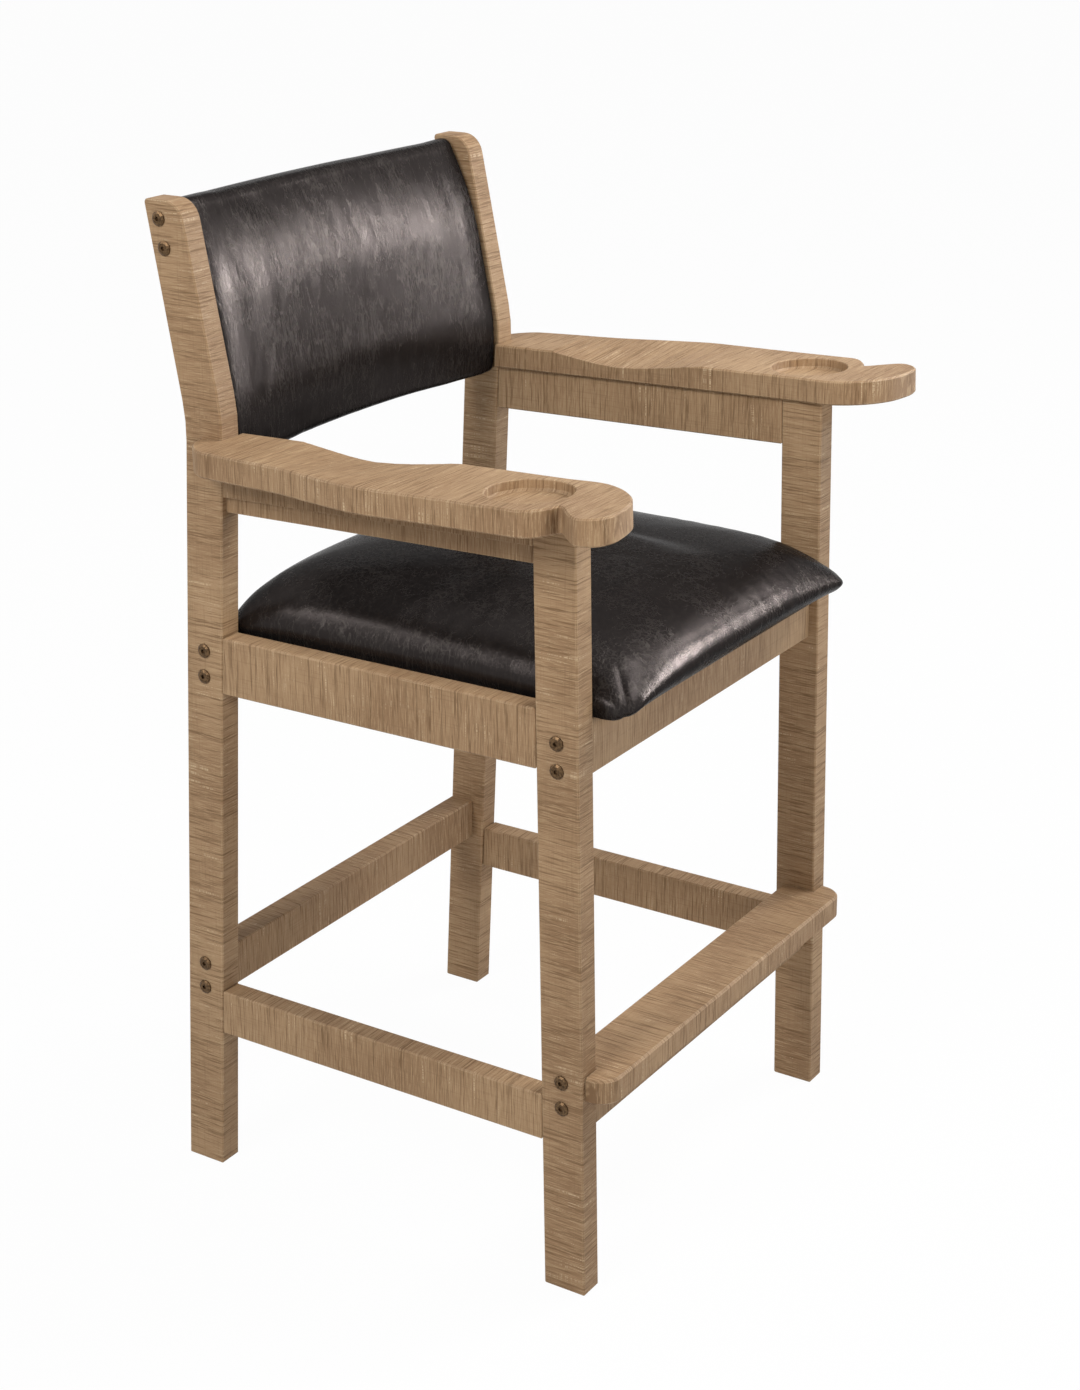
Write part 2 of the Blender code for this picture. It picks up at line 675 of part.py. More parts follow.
def arm_rail(label, side, wood):
    """Rail under the armrest: the lower part of its outer face is stepped back."""
    outline = rail_outline(arm_rail_bottom, lambda y: arm_underside(y) - FIT_GAP)
    made = solid("arm_rail_" + label, prism(outline, *span(side, LEG_INNER, LEG_OUTER), along_x), wood)
    ease(made, WOOD_ARRIS)
    front = front_leg_back(ARM_UNDERSIDE_HEIGHT) - CUT_OVERRUN
    back = arm_post_line() + CUT_OVERRUN
    rebate = [(front, arm_rail_bottom(front) - CUT_OVERRUN), (back, arm_rail_bottom(back) - CUT_OVERRUN),
              (back, arm_underside(back) - ARM_RAIL_BAND), (front, arm_underside(front) - ARM_RAIL_BAND)]
    reach = span(side, LEG_OUTER - ARM_RAIL_STEP, LEG_OUTER + CUT_OVERRUN)
    cut(made, made.name + "_rebate", prism(rebate, *reach, along_x))
    glue_dowels(made, side_frame_dowels(side)["arm_rail"] + arm_dowels(side)["arm_rail"])


# Armrest, drawn in its own plane: Y runs back from the post face, Z up from the underside

def arm_point(along_share, across_share, side):
    return side * (ARM_INNER + ARM_WIDTH * across_share), -ARM_LENGTH * along_share


def arm_outline(side):
    """Plan outline: a straight inner edge, a wing past the post, a hook at the front and the cue notch."""
    points = [arm_point(*shares, side) for shares in ARM_CURVE_SHARES]
    line = smooth_line(points, ARM_CURVE_STEPS)
    rear = ARM_CURVE_SHARES[0][0]
    return line + [arm_point(rear, 0, side)]


def cup_cutter(side):
    """Turned cutter of the cup recess, with a small fillet at its floor and a flare at its rim."""
    x = side * (ARM_INNER + CUP_FROM_INNER_EDGE)
    y = CUP_FROM_TIP - ARM_LENGTH
    floor = ARM_THICKNESS - CUP_DEPTH
    stations = ((0, CUP_RADIUS - CUP_FLOOR_FILLET, False), (CUP_FLOOR_FILLET, CUP_RADIUS, False),
                (CUP_DEPTH - CUP_RIM_FLARE, CUP_RADIUS, False),
                (CUP_DEPTH + CUT_OVERRUN, CUP_RADIUS + CUP_RIM_FLARE + CUT_OVERRUN, False))
    bm = bmesh.new()
    add_turned(bm, Vector((x, y, floor)), Vector((x, y, ARM_THICKNESS + CUT_OVERRUN)), stations, CUP_SIDES)
    return bm


def scoop_cutter(side):
    """Ruled cutter of the elbow scoop: deepest at the inner edge, fading out towards the outer edge."""
    rings = []
    for along_share, depth_share in SCOOP_PROFILE_SHARES:
        y = -(SCOOP_FROM_POST + SCOOP_LENGTH * along_share)
        depth = SCOOP_DEPTH * depth_share
        fade_share = SCOOP_FADE_START_SHARE + (SCOOP_FADE_END_SHARE - SCOOP_FADE_START_SHARE) * along_share
        fade = ARM_WIDTH * fade_share
        slope = depth / fade
        inner = -CUT_OVERRUN
        outer = fade + CUT_OVERRUN
        top = ARM_THICKNESS + CUT_OVERRUN
        section = ((inner, ARM_THICKNESS - slope * (fade - inner)),
                   (outer, ARM_THICKNESS + slope * CUT_OVERRUN),
                   (outer, top), (inner, top))
        rings.append([Vector((side * (ARM_INNER + across), y, z)) for across, z in section])
    bm = bmesh.new()
    add_loft(bm, rings)
    bmesh.ops.triangulate(bm, faces=bm.faces)
    return bm


def armrest(label, side, wood):
    spot = Matrix.Translation((0, arm_post_line(), ARM_UNDERSIDE_HEIGHT))
    place = spot @ Matrix.Rotation(-ARM_TILT, 4, "X")
    made = solid("armrest_" + label, prism(arm_outline(side), 0, ARM_THICKNESS, along_z), wood)
    made.matrix_world = place
    ease(made, ARM_ARRIS)
    cut(made, made.name + "_scoop", scoop_cutter(side)).matrix_world = place
    cut(made, made.name + "_cup", cup_cutter(side)).matrix_world = place
    low = ARM_UNDERSIDE_HEIGHT - CUT_OVERRUN
    high = ARM_UNDERSIDE_HEIGHT + ARM_THICKNESS + CUT_OVERRUN
    behind = rear_leg_back(low)
    notch = [(rear_leg_face(low) - FIT_GAP, low), (behind, low),
             (behind, high), (rear_leg_face(high) - FIT_GAP, high)]
    reach = span(side, ARM_INNER - CUT_OVERRUN, LEG_OUTER + FIT_GAP)
    cut(made, made.name + "_post_notch", prism(notch, *reach, along_x))
    dowels = arm_dowels(side)
    bore_dowels(made, dowels["arm_rail"] + dowels["front_leg"])


# Cross members

def cross_rail(name, face, bottom, height, wood):
    outline = [(face, bottom), (face + CROSS_RAIL_THICKNESS, bottom),
               (face + CROSS_RAIL_THICKNESS, bottom + height), (face, bottom + height)]
    made = solid(name, prism(outline, -CROSS_END, CROSS_END, along_x), wood)
    ease(made, WOOD_ARRIS)
    return made


def apron_face():
    return front_leg_face(APRON_BOTTOM + APRON_HEIGHT / 2) + CROSS_RAIL_SETBACK


def rear_rail_face():
    return rear_leg_middle(REAR_RAIL_BOTTOM + REAR_RAIL_HEIGHT / 2) - CROSS_RAIL_THICKNESS / 2


def front_stretcher_face():
    return front_leg_face(FRONT_STRETCHER_BOTTOM) + CROSS_RAIL_SETBACK


def rear_stretcher_face():
    middle = REAR_STRETCHER_BOTTOM + REAR_STRETCHER_HEIGHT / 2
    return rear_leg_back(middle) - REAR_STRETCHER_SETBACK - CROSS_RAIL_THICKNESS


def cross_rails(wood):
    """The four cross rails; each takes its nuts from the face that is least seen."""
    pairs = bolt_pairs()
    forward = Vector((0, -1, 0))
    backward = Vector((0, 1, 0))
    apron = cross_rail("front_apron", apron_face(), APRON_BOTTOM, APRON_HEIGHT, wood)
    bore_for_bolts(apron, pairs["front_apron"], backward, apron.name)
    rear = cross_rail("rear_seat_rail", rear_rail_face(), REAR_RAIL_BOTTOM, REAR_RAIL_HEIGHT, wood)
    bore_for_bolts(rear, pairs["rear_rail"], forward, rear.name)
    low_front = cross_rail("front_stretcher", front_stretcher_face(), FRONT_STRETCHER_BOTTOM,
                           FRONT_STRETCHER_HEIGHT, wood)
    bore_for_bolts(low_front, pairs["footrest"][1:], backward, low_front.name)
    low_rear = cross_rail("rear_stretcher", rear_stretcher_face(), REAR_STRETCHER_BOTTOM,
                          REAR_STRETCHER_HEIGHT, wood)
    bore_for_bolts(low_rear, pairs["rear_stretcher"], backward, low_rear.name)


def footrest_board(wood):
    """Board on the front stretcher, notched round the front legs, with rounded front corners."""
    leg_line = front_leg_face(FOOTREST_BOTTOM) - FIT_GAP
    front = leg_line - FOOTREST_NOSE
    back = front_stretcher_face() + CROSS_RAIL_THICKNESS
    end = LEG_OUTER - FOOTREST_END_INSET
    corners = [(-end, front, FOOTREST_CORNER_RADIUS), (end, front, FOOTREST_CORNER_RADIUS),
               (end, back, 0), (-end, back, 0)]
    made = solid("footrest_board", prism(rounded(corners), FOOTREST_BOTTOM, FOOTREST_TOP, along_z), wood)
    ease(made, FOOTREST_ARRIS)
    for label, side in SIDES:
        inner, outer = span(side, CROSS_END, LEG_OUTER)
        notch = [(inner, leg_line), (outer, leg_line),
                 (outer, back + CUT_OVERRUN), (inner, back + CUT_OVERRUN)]
        low = FOOTREST_BOTTOM - CUT_OVERRUN
        cut(made, f"footrest_notch_{label}", prism(notch, low, FOOTREST_TOP + CUT_OVERRUN, along_z))
    bore_for_bolts(made, bolt_pairs()["footrest"][:1], Vector((0, 0, -1)), made.name)


# Seat

def corner_blocks(wood):
    """Blocks in the corners under the seat, between the cross rails and the seat rails."""
    top = SEAT_BOARD_BOTTOM - FIT_GAP
    bottom = top - CORNER_BLOCK_HEIGHT
    ends = (("front", apron_face() + CROSS_RAIL_THICKNESS + FIT_GAP, front_leg_back(top) + FIT_GAP, 1),
            ("rear", rear_rail_face() - FIT_GAP, rear_leg_face(top) - FIT_GAP, -1))
    for end, rail_line, leg_line, onward in ends:
        for label, side in SIDES:
            outer = RAIL_INNER - FIT_GAP
            far = rail_line + onward * CORNER_BLOCK_SIDE
            outline = [(side * CROSS_END, rail_line), (side * CROSS_END, leg_line), (side * outer, leg_line),
                       (side * outer, far), (side * (outer - CORNER_BLOCK_TIP), far),
                       (side * (CROSS_END - CORNER_BLOCK_SIDE), rail_line + onward * CORNER_BLOCK_TIP),
                       (side * (CROSS_END - CORNER_BLOCK_SIDE), rail_line)]
            made = solid(f"corner_block_{end}_{label}", prism(outline, bottom, top, along_z), wood)
            runs = stretched(screw_runs(end, side), CUT_OVERRUN)
            bore = rods(runs, SCREW_RADIUS + BORE_CLEARANCE, BORE_SIDES)
            cut(made, made.name + "_screw_bore", bore)


def screw_runs(end, side):
    """Run of the seat screw in one corner, from under the block up into the board."""
    inset = CORNER_BLOCK_SIDE / 3
    y = apron_face() + CROSS_RAIL_THICKNESS + inset
    if end == "rear":
        y = rear_rail_face() - inset
    x = side * (CROSS_END - inset)
    bottom = SEAT_BOARD_BOTTOM - FIT_GAP - CORNER_BLOCK_HEIGHT
    x = side * min(abs(x), SEAT_BOARD_HALF_WIDTH - SCREW_HEAD_RADIUS)
    return [(Vector((x, y, bottom)), Vector((x, y, SEAT_BOARD_BOTTOM + SCREW_BITE)))]


def seat_screws(steel):
    """Pan-head screws through the corner blocks into the seat board."""
    for end in ("front", "rear"):
        for label, side in SIDES:
            (foot, tip), = screw_runs(end, side)
            head = foot - Vector((0, 0, SCREW_HEAD_HEIGHT + FIT_GAP))
            length = (tip - head).length
            stations = ((0, SCREW_RADIUS, False), (SCREW_HEAD_HEIGHT / 3, SCREW_HEAD_RADIUS, False),
                        (SCREW_HEAD_HEIGHT, SCREW_HEAD_RADIUS, False), (SCREW_HEAD_HEIGHT, SCREW_RADIUS, False),
                        (length - SCREW_RADIUS, SCREW_RADIUS, False), (length, SCREW_RADIUS / 3, False))
            bm = bmesh.new()
            add_turned(bm, head, tip, stations, BORE_SIDES)
            solid(f"seat_screw_{end}_{label}", bm, steel)


def seat_board_lines():
    """Front and rear edge of the seat board."""
    return apron_face() - SEAT_BOARD_NOSE, rear_rail_face() - SEAT_BOARD_REAR_CLEARANCE


def seat_board_outline(grow):
    front, back = seat_board_lines()
    half = SEAT_BOARD_HALF_WIDTH + grow
    radius = SEAT_BOARD_CORNER_RADIUS + grow
    return rounded([(-half, front - grow, radius), (half, front - grow, radius),
                    (half, back + grow, radius), (-half, back + grow, radius)])


def seat_board(wood):
    outline = seat_board_outline(0)
    top = SEAT_BOARD_BOTTOM + SEAT_BOARD_THICKNESS
    made = solid("seat_board", prism(outline, SEAT_BOARD_BOTTOM, top, along_z), wood)
    runs = [run for end in ("front", "rear") for _, side in SIDES for run in screw_runs(end, side)]
    bores = rods(stretched(runs, FIT_GAP), SCREW_RADIUS + BORE_CLEARANCE, BORE_SIDES)
    cut(made, made.name + "_screw_bores", bores)


def cushion_bounds():
    """Front line, rear line and half width of the cushion where it is widest."""
    front = front_leg_face(CUSHION_RIM_HEIGHT) - CUSHION_NOSE
    return front, rear_leg_face(CUSHION_RIM_HEIGHT) + CUSHION_REAR_REACH, LEG_INNER - CUSHION_SIDE_CLEARANCE


def cushion_height(x, y, rise):
    """Height of a point that would lie so far over the rim: the nearer to a corner, the lower."""
    front, back, half = cushion_bounds()
    cornered = min(1, abs(x) / half * abs(2 * y - front - back) / (back - front))
    return CUSHION_RIM_HEIGHT + rise * (1 - CUSHION_CORNER_FALL_SHARE * cornered ** CUSHION_CORNER_FALL_POWER)


def cushion_ring(inset, rise, front_draw, side_draw):
    """Rounded outline of the cushion, so far over its rim; the draws pull in its front and sides."""
    eased = CUSHION_CORNER_EASING * (1 - front_draw / CUSHION_DRAW_IN)
    front, back, half = cushion_bounds()
    front += inset + front_draw
    back -= inset + side_draw
    half -= inset + side_draw
    roundest = min(half, (back - front) / 2) * CUSHION_ROUNDEST_SHARE
    radius = min(CUSHION_CORNER_RADIUS + eased + inset * CUSHION_CORNER_GROWTH_SHARE, roundest)
    ring = []
    corners = ((half, front, -math.pi / 2), (half, back, 0),
               (-half, back, math.pi / 2), (-half, front, math.pi))
    for index, (x, y, start) in enumerate(corners):
        centre_x = x - math.copysign(radius, x)
        centre_y = y + radius if y == front else y - radius
        for step in range(CUSHION_CORNER_STEPS):
            angle = start + math.pi / 2 * step / (CUSHION_CORNER_STEPS - 1)
            ring.append(Vector((centre_x + radius * math.cos(angle), centre_y + radius * math.sin(angle))))
        next_x, next_y, next_start = corners[(index + 1) % len(corners)]
        next_centre_y = next_y + radius if next_y == front else next_y - radius
        target = Vector((next_x - math.copysign(radius, next_x) + radius * math.cos(next_start),
                         next_centre_y + radius * math.sin(next_start)))
        last = ring[-1]
        for step in range(1, CUSHION_SIDE_STEPS):
            ring.append(last.lerp(target, step / CUSHION_SIDE_STEPS))
    return [Vector((x, y, cushion_height(x, y, rise))) for x, y in ring]


def seat_cushion(cover):
    """Crowned cushion with drawn-in lower edges and pinched front corners, hollowed for the board."""
    rings = []
    for draw_share, lift_share in CUSHION_DRAW_SHARES:
        rise = CUSHION_CROWN * lift_share
        rings.append(cushion_ring(0, rise, CUSHION_DRAW_IN * draw_share, CUSHION_SIDE_DRAW_IN * draw_share))
    for inset_share, lift_share in CUSHION_CROWN_SHARES:
        rings.append(cushion_ring(CUSHION_FALL_WIDTH * inset_share, CUSHION_CROWN * lift_share, 0, 0))
    bm = bmesh.new()
    add_loft(bm, rings)
    made = solid("seat_cushion", bm, cover)
    pocket_top = SEAT_BOARD_BOTTOM + SEAT_BOARD_THICKNESS + FIT_GAP
    pocket = prism(seat_board_outline(FIT_GAP), CUSHION_RIM_HEIGHT - CUT_OVERRUN, pocket_top, along_z)
    cut(made, "seat_cushion_pocket", pocket)
    rail_top = REAR_RAIL_BOTTOM + REAR_RAIL_HEIGHT + FIT_GAP
    line = rear_rail_face() - FIT_GAP - CUT_OVERRUN
    behind = rear_rail_face() + CROSS_RAIL_THICKNESS
    relief = [(line, CUSHION_RIM_HEIGHT - CUT_OVERRUN), (behind, CUSHION_RIM_HEIGHT - CUT_OVERRUN),
              (behind, rail_top), (line, rail_top)]
    cut(made, "seat_cushion_rail_relief", prism(relief, -LEG_OUTER, LEG_OUTER, along_x))


# Back

def back_curve(x, z):
    """How far the back is bowed to the rear, most in the middle and nothing at the posts."""
    share = x / LEG_INNER
    height_share = (z - BACK_BOTTOM) / (BACK_TOP - BACK_BOTTOM)
    bow = BACK_CURVE_AT_BOTTOM + (BACK_CURVE_AT_TOP - BACK_CURVE_AT_BOTTOM) * height_share
    return bow * (1 - share ** 2)


def back_front_offset(z):
    """Face of the cushion measured from the post's face: proud of it, leaning back near the top."""
    lean_share = max(0, (z - BACK_LEAN_START) / (BACK_TOP - BACK_LEAN_START))
    return BACK_LEAN_DEPTH * lean_share ** 2 - BACK_PROUD


def back_section():
    """Side section of the cushion as (offset from the post's face, height, share of the side rounding)."""
    back = BACK_BOARD_OFFSET + BACK_BOARD_THICKNESS + FIT_GAP + BACK_COVER_THICKNESS
    low = BACK_BOTTOM + BACK_LIP_RADIUS
    high = BACK_TOP - BACK_LIP_RADIUS
    heights = [low + (high - low) * row / BACK_ROWS for row in range(BACK_ROWS + 1)]
    section = [(back, BACK_BOTTOM, 0)]
    for step in range(BACK_LIP_STEPS):
        angle = math.pi / 2 * step / BACK_LIP_STEPS
        corner = back_front_offset(low) + BACK_LIP_RADIUS
        section.append((corner - BACK_LIP_RADIUS * math.sin(angle),
                        low - BACK_LIP_RADIUS * math.cos(angle), 1))
    section += [(back_front_offset(z), z, 1) for z in heights]
    corner = back_front_offset(high) + BACK_LIP_RADIUS
    for step in range(1, BACK_LIP_STEPS + 1):
        angle = math.pi / 2 * step / BACK_LIP_STEPS
        section.append((corner - BACK_LIP_RADIUS * math.cos(angle),
                        high + BACK_LIP_RADIUS * math.sin(angle), 1))
    section.append((back, BACK_TOP, 0))
    return section + [(back, z, 0) for z in reversed(heights)]


def back_loft(section, column_shares, half_width, rounding):
    """Lofts a side section across the chair along the back's curve, drawn in at both ends by the rounding."""
    rings = []
    for share in column_shares:
        near_end = max(0, (abs(share) - BACK_COLUMN_SHARES[-4]) / (1 - BACK_COLUMN_SHARES[-4]))
        ring = []
        for offset, z, rounded_share in section:
            bow = back_curve(share * half_width, z)
            y = eased_rear_face(z) + offset + bow + rounding * near_end * rounded_share
            ring.append(Vector((share * half_width, y, z)))
        rings.append(ring)
    bm = bmesh.new()
    add_loft(bm, rings)
    return bm


def plain_section(near, far, low, high):
    """Section of a panel between two offsets, in as many rows as the cushion has."""
    heights = [low + (high - low) * row / BACK_ROWS for row in range(BACK_ROWS + 1)]
    return [(near, z, 0) for z in heights] + [(far, z, 0) for z in reversed(heights)]


def back_parts(cover, wood):
    board_low = BACK_BOARD_BOTTOM
    board_high = BACK_BOARD_TOP
    board_back = BACK_BOARD_OFFSET + BACK_BOARD_THICKNESS
    half_width = LEG_INNER - BACK_SIDE_CLEARANCE
    cushion = back_loft(back_section(), BACK_COLUMN_SHARES, half_width, BACK_SIDE_ROUNDING)
    made = solid("back_cushion", cushion, cover)
    channel = plain_section(BACK_BOARD_OFFSET - FIT_GAP, board_back + BACK_COVER_THICKNESS + CUT_OVERRUN,
                            board_low - FIT_GAP, board_high + FIT_GAP)
    cut(made, "back_cushion_channel", back_loft(channel, BACK_BOARD_COLUMN_SHARES, CROSS_END, 0))
    board = plain_section(BACK_BOARD_OFFSET, board_back, board_low, board_high)
    made = solid("back_board", back_loft(board, BACK_BOARD_COLUMN_SHARES, CROSS_END, 0), wood)
    bore_for_bolts(made, bolt_pairs()["back"], Vector((0, 1, 0)), made.name)
    bore_dowels(made, [run for label, side in SIDES for run in back_pin_runs(side)])
    panel = plain_section(board_back + FIT_GAP, board_back + FIT_GAP + BACK_COVER_THICKNESS,
                          board_low, board_high)
    solid("back_rear_cover", back_loft(panel, BACK_BOARD_COLUMN_SHARES, CROSS_END, 0), cover)


# Fasteners

def bolt(name, start, end, nut_axis, bronze):
    """Bolt with a domed head and a hexagonal socket, screwed through its barrel nut."""
    rim = BOLT_HEAD_HEIGHT - BOLT_HEAD_RIM
    stations = ((BOLT_SOCKET_DEPTH, BOLT_SOCKET_RADIUS, True), (0, BOLT_SOCKET_RADIUS, True),
                (0, BOLT_CROWN_RADIUS, False), (rim, BOLT_HEAD_RADIUS, False),
                (BOLT_HEAD_HEIGHT, BOLT_HEAD_RADIUS, False), (BOLT_HEAD_HEIGHT, BOLT_SHANK_RADIUS, False),
                ((end - start).length, BOLT_SHANK_RADIUS, False))
    bm = bmesh.new()
    add_turned(bm, start, end, stations, BOLT_SIDES)
    made = solid(name, bm, bronze)
    middle = Vector((math.copysign(NUT_PLACE, start.x), start.y, start.z))
    half = nut_axis * (NUT_LENGTH / 2)
    join(made, name + "_nut", rods([(middle - half, middle + half)], NUT_RADIUS, NUT_SIDES))


def bolts(bronze):
    """Two bolts a side for each place where a cross member is drawn up to the legs."""
    flat = Vector((0, 1, 0))
    upright = Vector((0, 0, 1))
    for pair, places in bolt_pairs().items():
        for label, side in SIDES:
            runs = bolt_runs(places, LEG_OUTER + FIT_GAP + BOLT_HEAD_HEIGHT, BOLT_END, side)
            for level, (start, end) in zip(("upper", "lower"), runs):
                nut_axis = upright if (pair, level) == ("footrest", "upper") else flat
                bolt(f"bolt_{pair}_{level}_{label}", start, end, nut_axis, bronze)


def back_pins(wood):
    for label, side in SIDES:
        solid("back_pin_" + label, rods(back_pin_runs(side), DOWEL_RADIUS, BORE_SIDES), wood)


def main():
    for old in list(bpy.data.objects):
        bpy.data.objects.remove(old, do_unlink=True)
    wood = finish("weathered_wood", WOOD_LOOK)
    hidden_wood = finish("plain_wood", HIDDEN_WOOD_LOOK)
    cover = finish("upholstery", UPHOLSTERY_LOOK)
    bronze = finish("bolt_bronze", BRONZE_LOOK)
    steel = finish("screw_steel", STEEL_LOOK)
    for label, side in SIDES:
        front_leg(label, side, wood)
        rear_leg(label, side, wood)
        seat_rail(label, side, wood)
        side_stretcher(label, side, wood)
        arm_rail(label, side, wood)
        armrest(label, side, wood)
    cross_rails(wood)
    footrest_board(wood)
    corner_blocks(hidden_wood)
    seat_board(hidden_wood)
    seat_cushion(cover)
    back_parts(cover, hidden_wood)
    bolts(bronze)
    back_pins(hidden_wood)
    seat_screws(steel)


main()
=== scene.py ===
"""Looks of the spectator chair: weathered sawn wood, dark bronze bolts and glossy black upholstery.

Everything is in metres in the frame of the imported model: the chair faces -Y, the sitter's right is at -X, Z is up.
"""
import math

import bmesh
import bpy
import numpy as np
from mathutils import Matrix, Vector


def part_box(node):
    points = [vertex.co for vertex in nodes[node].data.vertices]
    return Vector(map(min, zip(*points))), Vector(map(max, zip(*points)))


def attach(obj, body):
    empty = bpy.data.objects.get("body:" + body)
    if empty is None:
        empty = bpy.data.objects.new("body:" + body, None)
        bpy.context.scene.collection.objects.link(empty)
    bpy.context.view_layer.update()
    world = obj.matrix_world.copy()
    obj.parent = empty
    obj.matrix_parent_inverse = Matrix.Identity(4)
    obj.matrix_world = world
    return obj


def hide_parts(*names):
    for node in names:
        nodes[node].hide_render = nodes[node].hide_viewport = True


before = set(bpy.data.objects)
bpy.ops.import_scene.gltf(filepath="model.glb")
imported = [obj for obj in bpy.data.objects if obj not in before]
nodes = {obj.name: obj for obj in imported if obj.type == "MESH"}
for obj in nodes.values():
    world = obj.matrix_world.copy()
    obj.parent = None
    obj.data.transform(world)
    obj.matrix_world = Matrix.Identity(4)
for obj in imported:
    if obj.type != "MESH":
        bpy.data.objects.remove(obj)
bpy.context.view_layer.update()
scene = bpy.context.scene


# Node graphs

class Graph:
    """The node tree of a material or world, filled with short calls."""

    def __init__(self, owner):
        self.owner = owner
        owner.use_nodes = True
        self.tree = owner.node_tree

    def put(self, socket, value):
        if isinstance(value, bpy.types.NodeSocket):
            self.tree.links.new(value, socket)
        elif value is not None:
            socket.default_value = value

    def add(self, kind, inputs=(), **settings):
        made = self.tree.nodes.new(kind)
        for key, value in settings.items():
            setattr(made, key, value)
        for key, value in dict(inputs).items():
            self.put(made.inputs[key], value)
        return made

    def math(self, operation, a, b=None, clamp=False):
        made = self.add("ShaderNodeMath", {0: a, 1: b}, operation=operation, use_clamp=clamp)
        return made.outputs[0]

    def times(self, a, b, clamp=False):
        return self.math("MULTIPLY", a, b, clamp)

    def plus(self, a, b):
        return self.math("ADD", a, b)

    def mix(self, factor, a, b):
        made = self.add("ShaderNodeMix", data_type="RGBA")
        self.put(made.inputs["Factor"], factor)
        self.put(made.inputs[6], a)
        self.put(made.inputs[7], b)
        return made.outputs[2]

    def step(self, value, low, high, start=0.0, end=1.0):
        """Eases from start to end while the value goes from low to high."""
        made = self.add("ShaderNodeMapRange", interpolation_type="SMOOTHSTEP")
        for place, number in enumerate((value, low, high, start, end)):
            self.put(made.inputs[place], number)
        return made.outputs[0]

    def place(self, scale, turn=(0, 0, 0), shift=(0, 0, 0)):
        """The piece's own coordinates, scaled to the texture."""
        spot = self.add("ShaderNodeTexCoord").outputs["Object"]
        made = self.add("ShaderNodeMapping", {"Vector": spot, "Scale": scale, "Rotation": turn, "Location": shift})
        return made.outputs[0]

    def noise(self, vector, detail=3.0, roughness=0.55, distortion=0.0):
        made = self.add("ShaderNodeTexNoise", {"Vector": vector, "Scale": 1.0, "Detail": detail,
                                               "Roughness": roughness, "Distortion": distortion})
        return made.outputs["Fac"]

    def edge(self, radius):
        """1 on flat ground, and less where an edge within the radius turns the surface."""
        rounded = self.add("ShaderNodeBevel", {"Radius": radius}, samples=4).outputs[0]
        flat = self.add("ShaderNodeNewGeometry").outputs["Normal"]
        return self.add("ShaderNodeVectorMath", {0: rounded, 1: flat}, operation="DOT_PRODUCT").outputs["Value"]

    def bump(self, height, distance, strength=1.0):
        made = self.add("ShaderNodeBump", {"Height": height, "Distance": distance, "Strength": strength})
        return made.outputs[0]

    def seen(self):
        """1 for the rays of the camera and for mirrored and transmitted ones, and 0 for those that light things."""
        ray = self.add("ShaderNodeLightPath").outputs
        looked_at = self.math("MAXIMUM", ray["Is Camera Ray"], ray["Is Glossy Ray"])
        return self.math("MAXIMUM", looked_at, ray["Is Transmission Ray"])

    def finish(self, colour, roughness, normal, **fixed):
        """Fills the shader and returns the material."""
        shader = self.tree.nodes["Principled BSDF"].inputs
        self.put(shader["Base Color"], colour)
        self.put(shader["Roughness"], roughness)
        self.put(shader["Normal"], normal)
        for key, value in fixed.items():
            shader[key.replace("_", " ")].default_value = value
        return self.owner


def material_graph(name):
    return Graph(bpy.data.materials.new(name))


def tone(red, green, blue, shade=1.0):
    """Linear colour from the numbers that a picture shows, each 0 to 255."""
    shown = (level * shade / 255 for level in (red, green, blue))
    return tuple(c / 12.92 if c <= 0.04045 else ((c + 0.055) / 1.055) ** 2.4 for c in shown) + (1.0,)


def give(made, material):
    made.data.materials.clear()
    made.data.materials.append(material)


# Wood: cross-cut by a coarse saw, so its marks lie square to each piece's length

WOOD_TONES = {
    "low": (141, 111, 81),
    "high": (165, 135, 102),
    "saw_mark": (108, 81, 55),
    "fine_mark": (184, 156, 121),
    "grain": (126, 98, 71),
    "fleck": (206, 182, 148),
    # The lighter arris tone is partly wear and partly a painted highlight along the edges
    "worn_and_highlit": (196, 170, 136),
}
WOOD_AXES = {
    "Z": ("front_leg", "rear_leg"),
    "Y": ("seat_rail", "side_stretcher", "arm_rail", "armrest"),
    "X": ("front_apron", "rear_seat_rail", "front_stretcher", "rear_stretcher", "footrest_board"),
}
# Reach of the edge mask for the lighter arrises: partly wear, partly painted highlight
EDGE_WEAR_AND_HIGHLIGHT_RADIUS = 0.0022
SAW_DEPTH = 0.00045
HIDDEN_SHADE = 1.12
HIDDEN_CALM = 0.7


